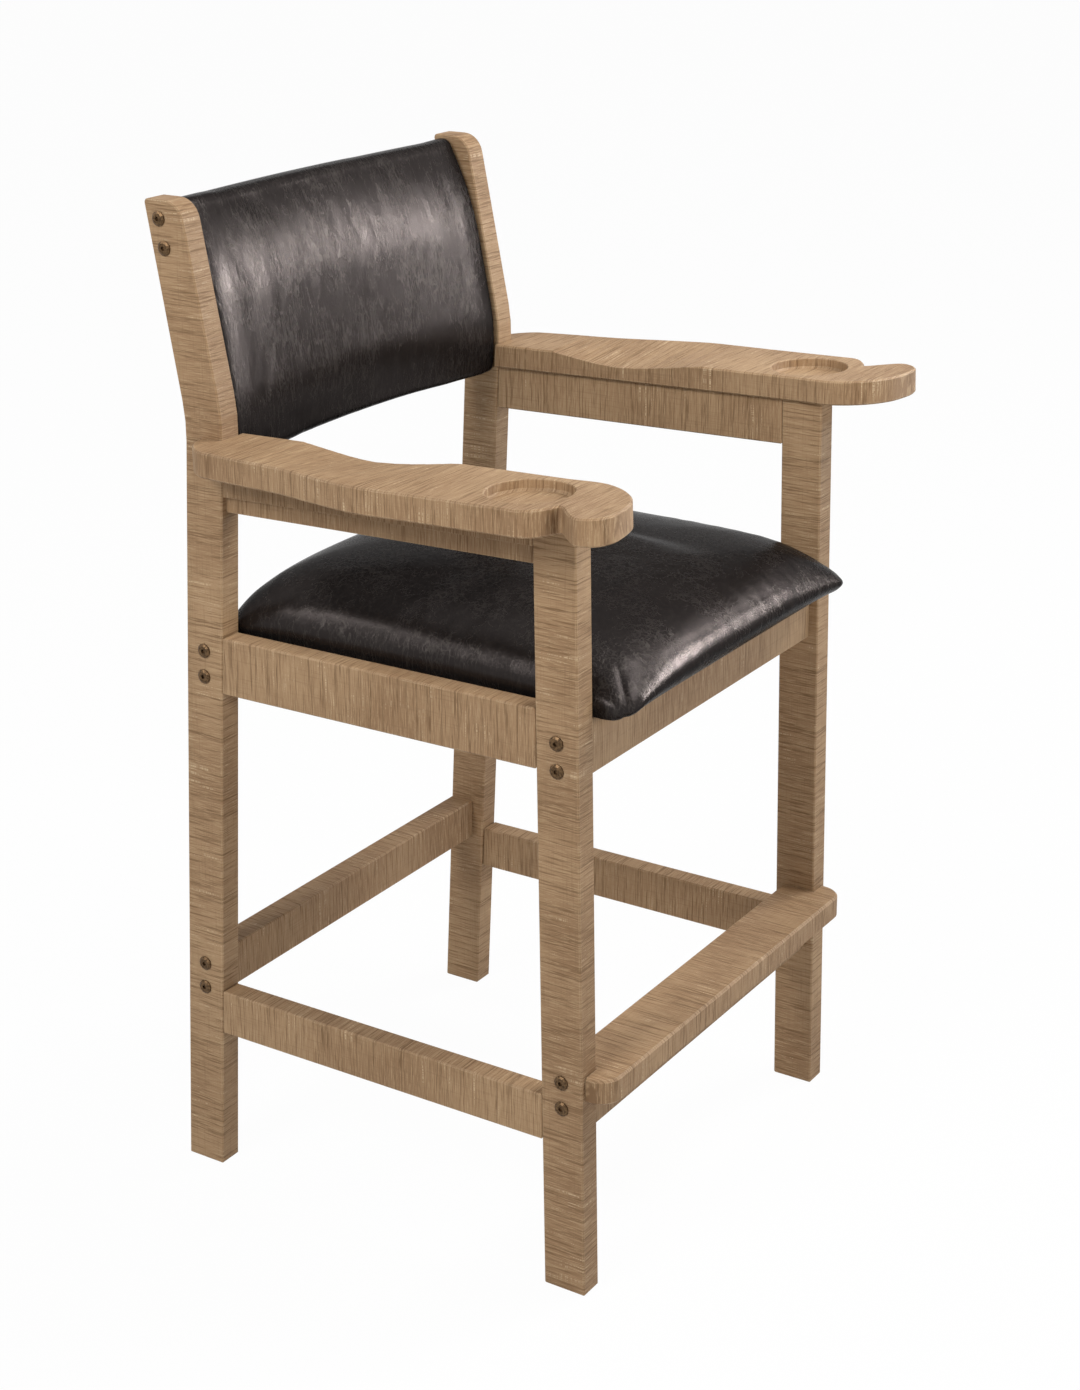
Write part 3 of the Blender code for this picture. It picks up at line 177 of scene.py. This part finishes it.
def wood(name, axis, seed, shade=1.0, calm=0.0):
    """Sawn wood whose length lies along the axis; calm, from 0 to 1, quietens the saw's marks."""
    g = material_graph(name)
    hue = {key: tone(*shown, shade) for key, shown in WOOD_TONES.items()}
    shift = (seed * 3.1, seed * 5.7, seed * 7.3)

    def pattern(along, across, detail, roughness, distortion=0.0):
        scale = tuple(along if letter == axis else across for letter in "XYZ")
        return g.noise(g.place(scale, shift=shift), detail, roughness, distortion)

    marks = pattern(420, 13, 4.0, 0.62, 0.25)
    fine = pattern(1050, 42, 3.0, 0.6, 0.15)
    grain = pattern(16, 520, 3.0, 0.6)
    patches = pattern(26, 17, 3.0, 0.55, 0.4)
    cloud = pattern(7, 7, 3.0, 0.5)
    wear = pattern(60, 60, 3.0, 0.6)
    base = g.mix(g.step(cloud, 0.30, 0.70), hue["low"], hue["high"])
    base = g.mix(g.times(g.step(marks, 0.52, 0.35), 0.72 - calm * 0.4), base, hue["saw_mark"])
    base = g.mix(g.times(g.step(fine, 0.48, 0.64), 0.55), base, hue["fine_mark"])
    base = g.mix(g.times(g.step(grain, 0.50, 0.70), 0.30), base, hue["grain"])
    fleck = g.times(g.step(marks, 0.54, 0.66), g.step(patches, 0.50, 0.63))
    fleck = g.times(fleck, g.step(grain, 0.40, 0.62))
    base = g.mix(g.times(fleck, 0.85 - calm * 0.5), base, hue["fleck"])
    # Lighter arrises where the bevel mask finds an edge, in patches: partly wear, partly painted highlight
    edge_wear_and_highlight = g.times(g.step(g.edge(EDGE_WEAR_AND_HIGHLIGHT_RADIUS), 0.990, 0.90), g.step(wear, 0.42, 0.60))
    base = g.mix(g.times(edge_wear_and_highlight, 0.55), base, hue["worn_and_highlit"])
    height = g.plus(g.plus(marks, g.times(fine, 0.45)), g.times(grain, 0.30))
    rough = g.step(marks, 0.3, 0.7, 0.72, 0.58)
    return g.finish(base, rough, g.bump(height, SAW_DEPTH, 0.8 - calm * 0.4), Specular_IOR_Level=0.25)


seed = 1.0
for axis, pieces in WOOD_AXES.items():
    for piece in pieces:
        for name in sorted(nodes):
            if name in (piece, f"{piece}_right", f"{piece}_left"):
                give(nodes[name], wood(f"wood_{name}", axis, seed))
                seed += 1.0
for name in sorted(nodes):
    if name.startswith("corner_block") or name in ("seat_board", "back_board"):
        give(nodes[name], wood(f"wood_{name}", "X", seed, HIDDEN_SHADE, HIDDEN_CALM))
        seed += 1.0


# Bolts and screws

FINISH_DEPTH = 0.0002


def bronze():
    g = material_graph("bronze")
    mottled = g.noise(g.place((420, 420, 420)), 4.0, 0.6)
    fine = g.noise(g.place((1900, 1900, 1900)), 2.0, 0.5)
    base = g.mix(g.step(mottled, 0.35, 0.68), tone(70, 53, 36), tone(112, 88, 62))
    rough = g.step(mottled, 0.3, 0.7, 0.30, 0.50)
    return g.finish(base, rough, g.bump(fine, FINISH_DEPTH, 0.4), Metallic=0.9)


def steel():
    g = material_graph("zinc_steel")
    mottled = g.noise(g.place((600, 600, 600)), 3.0, 0.6)
    base = g.mix(mottled, tone(150, 148, 140), tone(196, 194, 186))
    rough = g.step(mottled, 0.3, 0.7, 0.3, 0.5)
    return g.finish(base, rough, g.bump(mottled, FINISH_DEPTH, 0.3), Metallic=1.0)


bronze_finish = bronze()
steel_finish = steel()
for name in sorted(nodes):
    if name.startswith("bolt_"):
        give(nodes[name], bronze_finish)
    elif name.startswith(("seat_screw", "back_pin")):
        give(nodes[name], steel_finish)


# Leather

LEATHER_DARK = (46, 42, 41)
# Lighter tone painted on the crease lines: painted sheen where the creases catch the light
LEATHER_CREASE_SHEEN = (64, 60, 57)
LEATHER_EDGE_TINT = (0.35, 0.35, 0.35, 1.0)
LEATHER_DEPTH = 0.00013


def leather(name, creased, axes, seed):
    """Glossy black leather; axes are the texture scales of its creases, creased is how strong they are."""
    g = material_graph(name)
    shift = (seed, seed * 1.7, seed * 2.3)

    def crease(value, width):
        """A line wherever the noise passes its middle value."""
        return g.step(g.math("ABSOLUTE", g.math("SUBTRACT", value, 0.5)), 0.0, width, 1.0, 0.0)

    warp = g.noise(g.place((14, 14, 14), shift=shift), 2.0, 0.5)
    lines = g.noise(g.place(axes, (0.06, 0.22, 0.12), shift), 3.0, 0.55, 0.35)
    wide = g.noise(g.place(tuple(0.42 * n for n in axes), (-0.12, -0.30, 0.2), shift), 3.0, 0.55, 0.4)
    cells = g.add("ShaderNodeTexVoronoi", {"Vector": g.place((1, 1, 1), shift=shift), "Scale": 900.0},
                  feature="DISTANCE_TO_EDGE").outputs["Distance"]
    drawn = g.plus(g.times(crease(lines, 0.045), 0.6), g.times(crease(wide, 0.04), 0.7))
    drawn = g.times(drawn, g.step(warp, 0.30, 0.70, 0.45, 1.0))
    height = g.plus(g.times(drawn, creased), g.times(g.step(cells, 0.0, 0.12), 0.12))
    height = g.plus(height, g.times(lines, 0.5))
    # The crease lines are painted lighter in colour: painted sheen, besides their real bump and roughness
    base = g.mix(g.times(drawn, 0.8, clamp=True), tone(*LEATHER_DARK), tone(*LEATHER_CREASE_SHEEN))
    rough = g.plus(g.step(warp, 0.35, 0.65, 0.24, 0.27), g.times(drawn, 0.05))
    return g.finish(base, rough, g.bump(height, LEATHER_DEPTH), Metallic=0.7, Specular_IOR_Level=0.05,
                    Specular_Tint=LEATHER_EDGE_TINT)


# Meshes

CLOTH_FRAMES = 20


def link(name, data):
    made = bpy.data.objects.new(name, data)
    scene.collection.objects.link(made)
    return made


def link_mesh(name, bm):
    mesh = bpy.data.meshes.new(name)
    bm.to_mesh(mesh)
    bm.free()
    return link(name, mesh)


def settle(made):
    """Replaces the mesh by what its modifiers make of it."""
    bpy.context.view_layer.update()
    graph = bpy.context.evaluated_depsgraph_get()
    mesh = bpy.data.meshes.new_from_object(made.evaluated_get(graph))
    made.modifiers.clear()
    old = made.data
    made.data = mesh
    bpy.data.meshes.remove(old)


def each(made, what):
    """A row of three for each vertex: its place for co, and its direction for normal."""
    flat = np.empty(len(made.data.vertices) * 3, np.float32)
    made.data.vertices.foreach_get(what, flat)
    return flat.reshape(-1, 3).astype(float)


def move(made, place):
    made.data.vertices.foreach_set("co", place.astype(np.float32).ravel())
    made.data.update()


def subdivide(made):
    made.modifiers.new("finer", "SUBSURF").levels = 1
    settle(made)


def smooth_shading(made):
    made.data.polygons.foreach_set("use_smooth", [True] * len(made.data.polygons))


def through(stops, count):
    """Points evenly spaced along a smooth curve through the stops."""
    stops = np.array(stops, float)
    ends = np.vstack([2 * stops[0] - stops[1], stops, 2 * stops[-1] - stops[-2]])
    fine = []
    for a, b, c, d in zip(ends, ends[1:], ends[2:], ends[3:]):
        for t in np.linspace(0, 1, 24, endpoint=False):
            cubic = 2 * a - 5 * b + 4 * c - d + t * (3 * b - a - 3 * c + d)
            fine.append(b + 0.5 * t * (c - a + t * cubic))
    fine = np.array(fine + [stops[-1]])
    run = np.concatenate([[0.0], np.cumsum(np.linalg.norm(np.diff(fine, axis=0), axis=1))])
    even = np.linspace(0.0, run[-1], count)
    return np.stack([np.interp(even, run, column) for column in fine.T], axis=1)


def loft(name, rings):
    """Closed skin over rings of equally many points, with a flat face at both ends."""
    bm = bmesh.new()
    rows = [[bm.verts.new(point) for point in ring] for ring in rings]
    for near, far in zip(rows, rows[1:]):
        for k in range(len(near)):
            following = (k + 1) % len(near)
            bm.faces.new((near[k], near[following], far[following], far[k]))
    bm.faces.new(rows[0])
    bm.faces.new(rows[-1])
    bmesh.ops.recalc_face_normals(bm, faces=bm.faces)
    return link_mesh(name, bm)


def inflate(made, pressure, cap, weight):
    """Blows the closed cover up as cloth, and lets each point move as far as cap times its weight."""
    before = each(made, "co")
    cloth = made.modifiers.new("cover", "CLOTH")
    cloth.settings.quality = 4
    cloth.settings.mass = 0.4
    cloth.settings.tension_stiffness = 25
    cloth.settings.compression_stiffness = 25
    cloth.settings.bending_stiffness = 2
    cloth.settings.use_pressure = True
    cloth.settings.uniform_pressure_force = pressure
    cloth.settings.effector_weights.gravity = 0.0
    cloth.point_cache.frame_start = 1
    cloth.point_cache.frame_end = CLOTH_FRAMES
    for number in range(1, CLOTH_FRAMES + 1):
        scene.frame_set(number)
    settle(made)
    scene.frame_set(1)
    moved = each(made, "co") - before
    length = np.linalg.norm(moved, axis=1)
    share = np.minimum(1.0, cap * weight(before) / np.maximum(length, 1e-9))
    move(made, before + moved * share[:, None])


def eased(value, low, high):
    """0 at low and 1 at high, with a smooth start and end between them."""
    t = np.clip((value - low) / (high - low), 0.0, 1.0)
    return t * t * (3 - 2 * t)


def ripple(place, scale, seed):
    """Smooth unevenness from about -1 to 1 at each point, from crossing waves of fixed directions."""
    draw = np.random.default_rng(seed)
    waves = draw.normal(size=(14, 3)) * 3.2
    return np.sin((place * np.array(scale)) @ waves.T + draw.uniform(0, 2 * math.pi, 14)).mean(axis=1) * 2.2


# Seat cushion: crowned, drawn in under the sides, with a mitred pleat at each front corner

COVER_GAP = 0.0004
SEAT_RADIUS = 0.032
SEAT_UNDER_RADIUS = 0.016
BOARD_RADIUS = 0.020
CORNER_STEPS = 16
SIDE_STEPS = 36
PROFILE_STEPS = 44
FRONT_UNDERCUT = 0.023
SIDE_UNDERCUT = 0.006
CROWN_INSET = 0.250
UNDERCUT_SHARES = ((1.00, 0.00), (0.52, 0.10), (0.18, 0.22), (0.00, 0.34))
CROWN_SHARES = ((0.012, 0.450), (0.040, 0.570), (0.080, 0.665), (0.150, 0.780), (0.240, 0.870), (0.370, 0.935),
                (0.540, 0.975), (0.760, 0.994), (0.960, 1.000))
CORNER_FALL_SHARE = 0.62
SEAT_PRESSURE = 4.0
SEAT_SWELL = 0.003
PLEAT_DEPTH, PLEAT_WIDTH = 0.0013, 0.0028
PLEAT_START, PLEAT_END = 0.012, 0.080
PUCKER_HEIGHT, PUCKER_PLACE, PUCKER_WIDTH = 0.0005, 0.010, 0.007
SEAT_CRINKLE = 0.00045


def rounded_ring(half, front, back, radius):
    """Rounded rectangle, anticlockwise, in the same number of points whatever its size."""
    corners = [(half - radius, front + radius, -math.pi / 2), (half - radius, back - radius, 0.0),
               (radius - half, back - radius, math.pi / 2), (radius - half, front + radius, math.pi)]
    ring = []
    for number, (x, y, start) in enumerate(corners):
        for angle in np.linspace(start, start + math.pi / 2, CORNER_STEPS):
            ring.append((x + radius * math.cos(angle), y + radius * math.sin(angle)))
        x, y, start = corners[(number + 1) % 4]
        goal = np.array((x + radius * math.cos(start), y + radius * math.sin(start)))
        last = np.array(ring[-1])
        ring += [tuple(last + (goal - last) * share) for share in np.linspace(0, 1, SIDE_STEPS)[1:-1]]
    return np.array(ring)


def cushion_rings(low, high):
    """From the pocket round the seat board, out over the drawn-in sides, and up to the crown."""
    crown = high.z - low.z
    board_low, board_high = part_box("seat_board")
    hollow = rounded_ring(board_high.x + COVER_GAP, board_low.y - COVER_GAP, board_high.y + COVER_GAP, BOARD_RADIUS)
    ceiling = board_high.z + COVER_GAP
    rings = [np.column_stack([hollow, np.full(len(hollow), z)]) for z in (ceiling, low.z)]
    stops = [(FRONT_UNDERCUT * share, SIDE_UNDERCUT * share, 0.0, crown * lift) for share, lift in UNDERCUT_SHARES]
    stops += [(0.0, 0.0, CROWN_INSET * share, crown * lift) for share, lift in CROWN_SHARES]
    for draw, side_draw, inset, rise in through(stops, PROFILE_STEPS):
        half, front, back = high.x - inset - side_draw, low.y + inset + draw, high.y - inset - side_draw
        radius = SEAT_RADIUS - SEAT_UNDER_RADIUS * draw / FRONT_UNDERCUT + inset * 0.5
        ring = rounded_ring(half, front, back, min(radius, 0.92 * min(half, (back - front) / 2)))
        across = np.abs(ring[:, 0]) / high.x
        cornered = np.minimum(across * np.abs(2 * ring[:, 1] - low.y - high.y) / (high.y - low.y), 1.0)
        rings.append(np.column_stack([ring, low.z + rise * (1 - CORNER_FALL_SHARE * cornered ** 4)]))
    rail_low, rail_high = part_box("rear_seat_rail")
    for ring in rings:
        over = ring[:, 1] > rail_low.y - 0.004
        ring[over, 2] = np.maximum(ring[over, 2], rail_high.z + COVER_GAP)
    return rings


def pleats(place, low, high):
    """Height of the mitred seam and of the puckers beside it at the front corners."""
    depth = np.zeros(len(place))
    for side in (-1, 1):
        corner = np.array((side * (high.x - 0.003), low.y + 0.003))
        inward = np.array((-side, 1.0)) / math.sqrt(2)
        local = place[:, :2] - corner
        off = np.abs(local @ np.array((inward[1], -inward[0])))
        fade = eased(local @ inward, PLEAT_END, PLEAT_START)
        depth -= PLEAT_DEPTH * np.exp(-(off / PLEAT_WIDTH) ** 2) * fade
        depth += PUCKER_HEIGHT * np.exp(-((off - PUCKER_PLACE) / PUCKER_WIDTH) ** 2) * fade
    return depth


def seat_cushion():
    low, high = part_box("seat_cushion")
    made = loft("seat_cushion_cover", cushion_rings(low, high))
    inflate(made, SEAT_PRESSURE, SEAT_SWELL, lambda p: eased(p[:, 2], low.z + 0.015, low.z + 0.045))
    subdivide(made)
    place, facing = each(made, "co"), each(made, "normal")
    rim = eased(place[:, 2], low.z + 0.004, low.z + 0.03) * eased(place[:, 2], high.z + 0.004, high.z - 0.03)
    front = eased(place[:, 1], low.y + 0.16, low.y + 0.02) * rim
    sides = eased(np.abs(place[:, 0]), high.x - 0.13, high.x - 0.02) * rim
    crinkle = ripple(place, (70, 26, 26), 3) * front + ripple(place, (26, 60, 26), 5) * sides
    depth = pleats(place, low, high) + SEAT_CRINKLE * crinkle
    move(made, place + facing * depth[:, None])
    smooth_shading(made)
    give(made, leather("seat_leather", 1.0, (150, 150, 42), 4.0))
    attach(made, "root")
    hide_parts("seat_cushion")


# Back pad: stretched between the posts over the curved board and rolled over its top

KNEE_RISE, KNEE_REACH = 0.0635, 0.02453
POST_OFFSET, POST_SLOPE, POST_TURN = 0.2725, -0.0493, 0.2490
BACK_LIP = 0.0105
LIP_STEPS = 8
FACE_STEPS = 44
BACK_STEPS = 72
BACK_REAR, BACK_POCKET = 0.0436, 0.0257
BACK_SWELL_HEIGHT, BACK_SWELL_DEPTH, BACK_PROUD = 0.124, 0.0222, 0.0035
BOW_LOW, BOW_LESS_HIGH, BOW_HALF = 0.027, 0.017, 0.269
POST_ROUND_SHARE, POST_ROUND_DEPTH = 0.84, 0.0085
BACK_PRESSURE = 3.0
BACK_SWELL = 0.0012
BACK_CRINKLE = 0.00022


def post_line(z, bottom):
    """Front line of the posts, eased at the knee."""
    past = np.clip(z - bottom - KNEE_RISE, -KNEE_REACH, None)
    bend = np.where(past < KNEE_REACH, (past + KNEE_REACH) ** 2 / (4 * KNEE_REACH), past)
    return POST_OFFSET + POST_SLOPE * z + POST_TURN * bend


def back_section(low, high):
    """Side section as (offset from the posts' line, height, share of the rounding at the posts)."""
    board_low, board_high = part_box("back_board")
    floor_line, roof_line = board_low.z - COVER_GAP, board_high.z + COVER_GAP

    def face(z):
        climb = np.clip((z - high.z + BACK_SWELL_HEIGHT) / BACK_SWELL_HEIGHT, 0.0, None)
        return BACK_SWELL_DEPTH * climb ** 2 - BACK_PROUD

    def lip(start, angle):
        return start + BACK_LIP * (1 - math.sin(angle)), BACK_LIP * (1 - math.cos(angle))

    low_face, high_face = face(low.z + BACK_LIP), face(high.z - BACK_LIP)
    turns = np.linspace(0, math.pi / 2, LIP_STEPS)
    section = [(offset, low.z, 0.0) for offset in np.linspace(BACK_REAR, low_face + 0.018, 5)]
    for angle in turns[:-1]:
        offset, rise = lip(low_face, angle)
        section.append((offset, low.z + rise, 1.0))
    section += [(face(z), z, 1.0) for z in np.linspace(low.z + BACK_LIP, high.z - BACK_LIP, FACE_STEPS)]
    for angle in turns[1:]:
        offset, fall = lip(high_face, math.pi / 2 - angle)
        section.append((offset, high.z - fall, 1.0))
    section += [(BACK_REAR, high.z, 0.0), (BACK_REAR, roof_line, 0.0), (BACK_POCKET, roof_line, 0.0)]
    section += [(BACK_POCKET, z, 0.0) for z in np.linspace(roof_line, floor_line, 12)[1:-1]]
    section += [(BACK_POCKET, floor_line, 0.0), (BACK_REAR, floor_line, 0.0)]
    return np.array(section)


def back_rings(low, high):
    """The section carried from post to post along the back's curve, drawn in beside the posts."""
    section = back_section(low, high)
    share_up = (section[:, 1] - low.z) / (high.z - low.z)
    line = post_line(section[:, 1], low.z) + section[:, 0]
    rings = []
    for angle in np.linspace(-math.pi / 2, math.pi / 2, BACK_STEPS):
        share = 0.35 * math.sin(angle) + 0.65 * angle / (math.pi / 2)
        across = share * high.x
        bow = (BOW_LOW - BOW_LESS_HIGH * share_up) * (1 - (across / BOW_HALF) ** 2)
        beside = max(0.0, (abs(share) - POST_ROUND_SHARE) / (1 - POST_ROUND_SHARE)) ** 2
        y = line + bow + POST_ROUND_DEPTH * beside * section[:, 2]
        rings.append(np.column_stack([np.full(len(section), across), y, section[:, 1]]))
    return rings


def back_cushion():
    low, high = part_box("back_cushion")
    made = loft("back_cushion_cover", back_rings(low, high))
    inflate(made, BACK_PRESSURE, BACK_SWELL, lambda p: eased(np.abs(p[:, 0]), high.x - 0.002, high.x - 0.05))
    subdivide(made)
    place, facing = each(made, "co"), each(made, "normal")
    front = eased(-facing[:, 1], 0.1, 0.6) * eased(np.abs(place[:, 0]), high.x - 0.004, high.x - 0.04)
    crinkle = ripple(place, (42, 30, 15), 8) + 0.6 * ripple(place, (95, 60, 32), 11)
    move(made, place + facing * (BACK_CRINKLE * crinkle * front)[:, None])
    smooth_shading(made)
    give(made, leather("back_leather", 1.0, (240, 120, 48), 9.0))
    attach(made, "root")
    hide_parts("back_cushion")


# Rear cover of the back: a thin upholstered panel with its edges softened

HEM = 0.0008


def rear_cover():
    mesh = nodes["back_rear_cover"].data.copy()
    mesh.name = "back_rear_panel"
    made = link("back_rear_panel", mesh)
    edge = made.modifiers.new("edge", "BEVEL")
    edge.width = HEM
    edge.segments = 2
    edge.limit_method = "ANGLE"
    settle(made)
    smooth_shading(made)
    give(made, leather("rear_leather", 0.5, (90, 70, 50), 15.0))
    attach(made, "root")
    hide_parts("back_rear_cover")


seat_cushion()
back_cushion()
rear_cover()


# Floor, lights and camera

FLOOR_HALF = 80.0
FLOOR_WHITE_SHARE = 0.97
WORLD_LIGHT = 0.27
CAMERA_PLACE = (-2.42445, -1.55555, 1.68892)
CAMERA_TURN, CAMERA_LIFT, CAMERA_ROLL = (math.radians(angle) for angle in (-56.990, 16.856, -0.359))


def floor():
    """White to the eye and pale grey to the light, so that only the chair's shadow shows on it."""
    bm = bmesh.new()
    bmesh.ops.create_grid(bm, x_segments=2, y_segments=2, size=FLOOR_HALF)
    made = link_mesh("studio_floor", bm)
    g = material_graph("studio_floor")
    base = g.mix(g.noise(g.place((2, 2, 2))), (0.80, 0.80, 0.80, 1), (0.82, 0.82, 0.82, 1))
    g.finish(base, 0.9, None, Specular_IOR_Level=0.0)
    shader, output = g.tree.nodes["Principled BSDF"], g.tree.nodes["Material Output"]
    glow = g.add("ShaderNodeEmission", {"Color": (1, 1, 1, 1), "Strength": 1.0})
    white = g.times(g.seen(), FLOOR_WHITE_SHARE)
    blend = g.add("ShaderNodeMixShader", {0: white, 1: shader.outputs[0], 2: glow.outputs[0]})
    g.put(output.inputs["Surface"], blend.outputs[0])
    made.data.materials.append(g.owner)


def studio_world():
    """White surroundings that give less light than they show."""
    world = bpy.data.worlds.new("studio")
    scene.world = world
    g = Graph(world)
    back = g.tree.nodes["Background"].inputs
    strength = g.add("ShaderNodeMapRange", {"Value": g.seen(), "To Min": WORLD_LIGHT, "To Max": 1.0})
    g.put(back["Color"], (1, 1, 1, 1))
    g.put(back["Strength"], strength.outputs[0])


def softbox(name, place, target, width, height, power, diffuse=True, glossy=True, spread=180):
    data = bpy.data.lights.new(name, "AREA")
    data.shape = "RECTANGLE"
    data.size = width
    data.size_y = height
    data.energy = power
    data.spread = math.radians(spread)
    made = link(name, data)
    made.location = place
    made.rotation_euler = (Vector(target) - Vector(place)).to_track_quat("-Z", "Y").to_euler()
    made.visible_camera = False
    made.visible_diffuse = diffuse
    made.visible_glossy = glossy


def camera():
    data = bpy.data.cameras.new("camera")
    made = link("camera", data)
    level = math.cos(CAMERA_LIFT)
    back = Vector((math.sin(CAMERA_TURN) * level, -math.cos(CAMERA_TURN) * level, math.sin(CAMERA_LIFT)))
    side = Vector((0, 0, 1)).cross(back).normalized()
    above = back.cross(side)
    right = side * math.cos(CAMERA_ROLL) + above * math.sin(CAMERA_ROLL)
    up = above * math.cos(CAMERA_ROLL) - side * math.sin(CAMERA_ROLL)
    made.matrix_world = Matrix.Translation(CAMERA_PLACE) @ Matrix((right, up, back)).transposed().to_4x4()
    data.sensor_fit = "VERTICAL"
    data.sensor_height = 36.0
    data.lens = 65.38
    data.shift_x = 0.01423
    data.shift_y = -0.13216
    data.clip_start = 0.05
    data.clip_end = 100.0
    scene.camera = made


floor()
studio_world()
softbox("back_box", (1.41, -1.45, 1.44), (0.1, 0.2, 1.1), 0.26, 0.30, 44, diffuse=False)
softbox("near_box", (0.82, -0.67, 1.40), (0.0, -0.1, 0.9), 0.24, 0.24, 5, diffuse=False)
softbox("side_box", (-1.3, 1.8, 2.8), (-0.2, 0, 0.7), 0.9, 0.9, 22, diffuse=False)
softbox("right_box", (3.5, -1.8, 3.9), (0, -0.2, 0.7), 1.3, 1.3, 105, glossy=False)
softbox("upper_box", (0.6, -1.1, 2.95), (0, -0.1, 0.7), 0.8, 0.8, 30)
softbox("left_box", (-4.0, 0.6, 3.7), (0, 0, 0.8), 1.8, 1.8, 135)
softbox("front_box", (-0.9, -2.0, 1.40), (0.15, 0.1, 1.2), 0.5, 0.5, 3.3, glossy=False, spread=75)
camera()
scene.view_settings.view_transform = "Standard"
